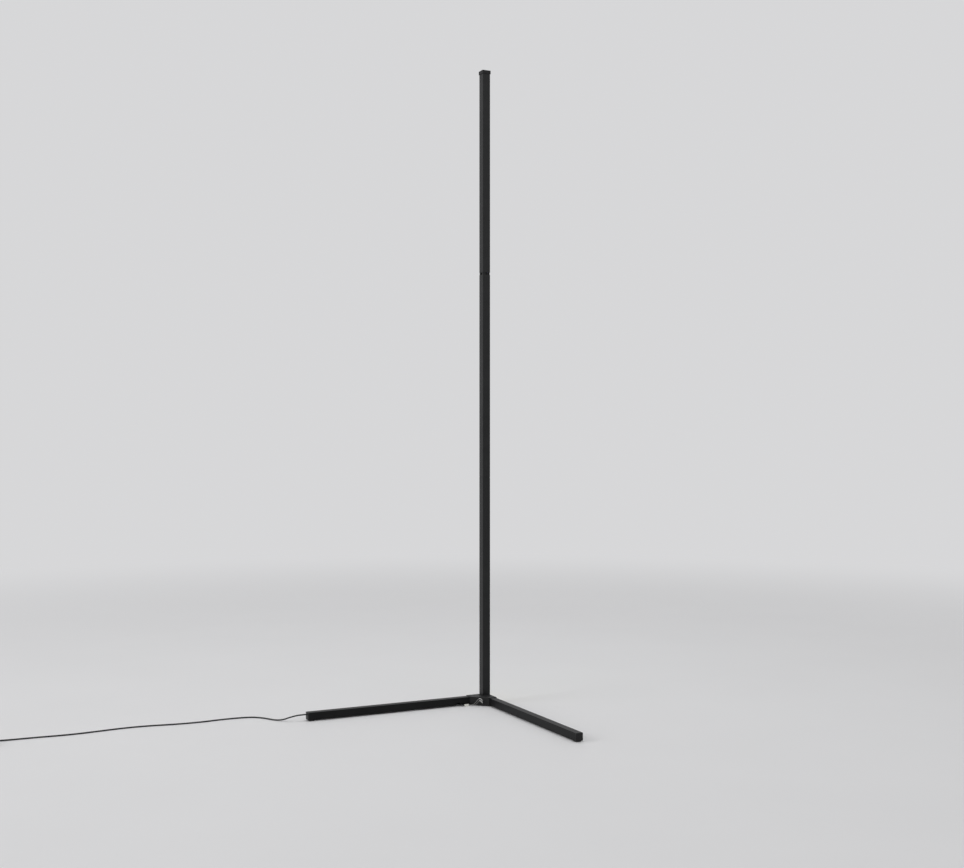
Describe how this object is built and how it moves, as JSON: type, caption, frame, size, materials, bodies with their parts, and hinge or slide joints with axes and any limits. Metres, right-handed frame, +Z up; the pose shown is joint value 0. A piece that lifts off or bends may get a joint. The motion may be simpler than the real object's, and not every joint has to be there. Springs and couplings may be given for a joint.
{
  "type": "corner floor lamp",
  "caption": "Slim black corner floor lamp: a square pole with a full-height rear light diffuser on a corner bracket with two floor legs, and a cord to a plug.",
  "frame": {"origin": "on the floor, on the underside of the bracket's pad, under the pole's axis", "axes": "+Z up along the pole; the left leg runs along -X and the right leg along -Y; the light leaves towards +X +Y"},
  "size_m": [1.0863, 0.5081, 1.4],
  "materials": {
    "black_metal": "satin powder coat",
    "black_plastic": "matte moulded",
    "dark_steel": "black oxide",
    "plate_steel": "satin",
    "milky_silicone": "milky, lit from inside",
    "circuit_tape": "white solder mask",
    "led_lens": "clear lens over a yellow phosphor",
    "rubber": "matte",
    "foam_tape": "foam",
    "circuit_board": "solder mask",
    "chip_plastic": "moulded epoxy",
    "lead_grey": "soft extruded",
    "wire_white": "soft extruded",
    "cord_black": "soft extruded",
    "tie_black": "matte",
    "white_nylon": "moulded nylon",
    "plug_black": "moulded",
    "bright_steel": "bright plated"
  },
  "bodies": {
    "root": {"pole_lower": "black_metal", "pole_middle": "black_metal", "pole_upper": "black_metal", "joiner_lower": "black_plastic", "joiner_upper": "black_plastic", "pole_screws": "dark_steel", "top_cap": "black_plastic", "diffuser": "milky_silicone", "led_strip": "circuit_tape", "led_chips": "led_lens", "corner_bracket": "black_plastic", "base_plate": "plate_steel", "bracket_pad": "rubber", "base_screws": "dark_steel", "left_leg": "black_metal", "right_leg": "black_metal", "left_end_cap": "black_plastic", "right_end_cap": "black_plastic", "left_leg_foot": "rubber", "right_leg_foot": "rubber", "cord_grommet": "rubber", "board_tape": "foam_tape", "controller_board": "circuit_board", "board_components": "chip_plastic", "pole_lead_inner": "lead_grey", "upper_lead_wire": "wire_white", "lower_lead_wire": "wire_white", "controller_tail": "cord_black", "cord_in_leg": "cord_black", "lead_plug": "white_nylon", "lead_socket": "white_nylon", "power_cord": "cord_black", "cord_coil": "cord_black", "coil_tie": "tie_black", "power_plug": "plug_black", "power_plug_shell": "bright_steel"}
  },
  "joints": []
}
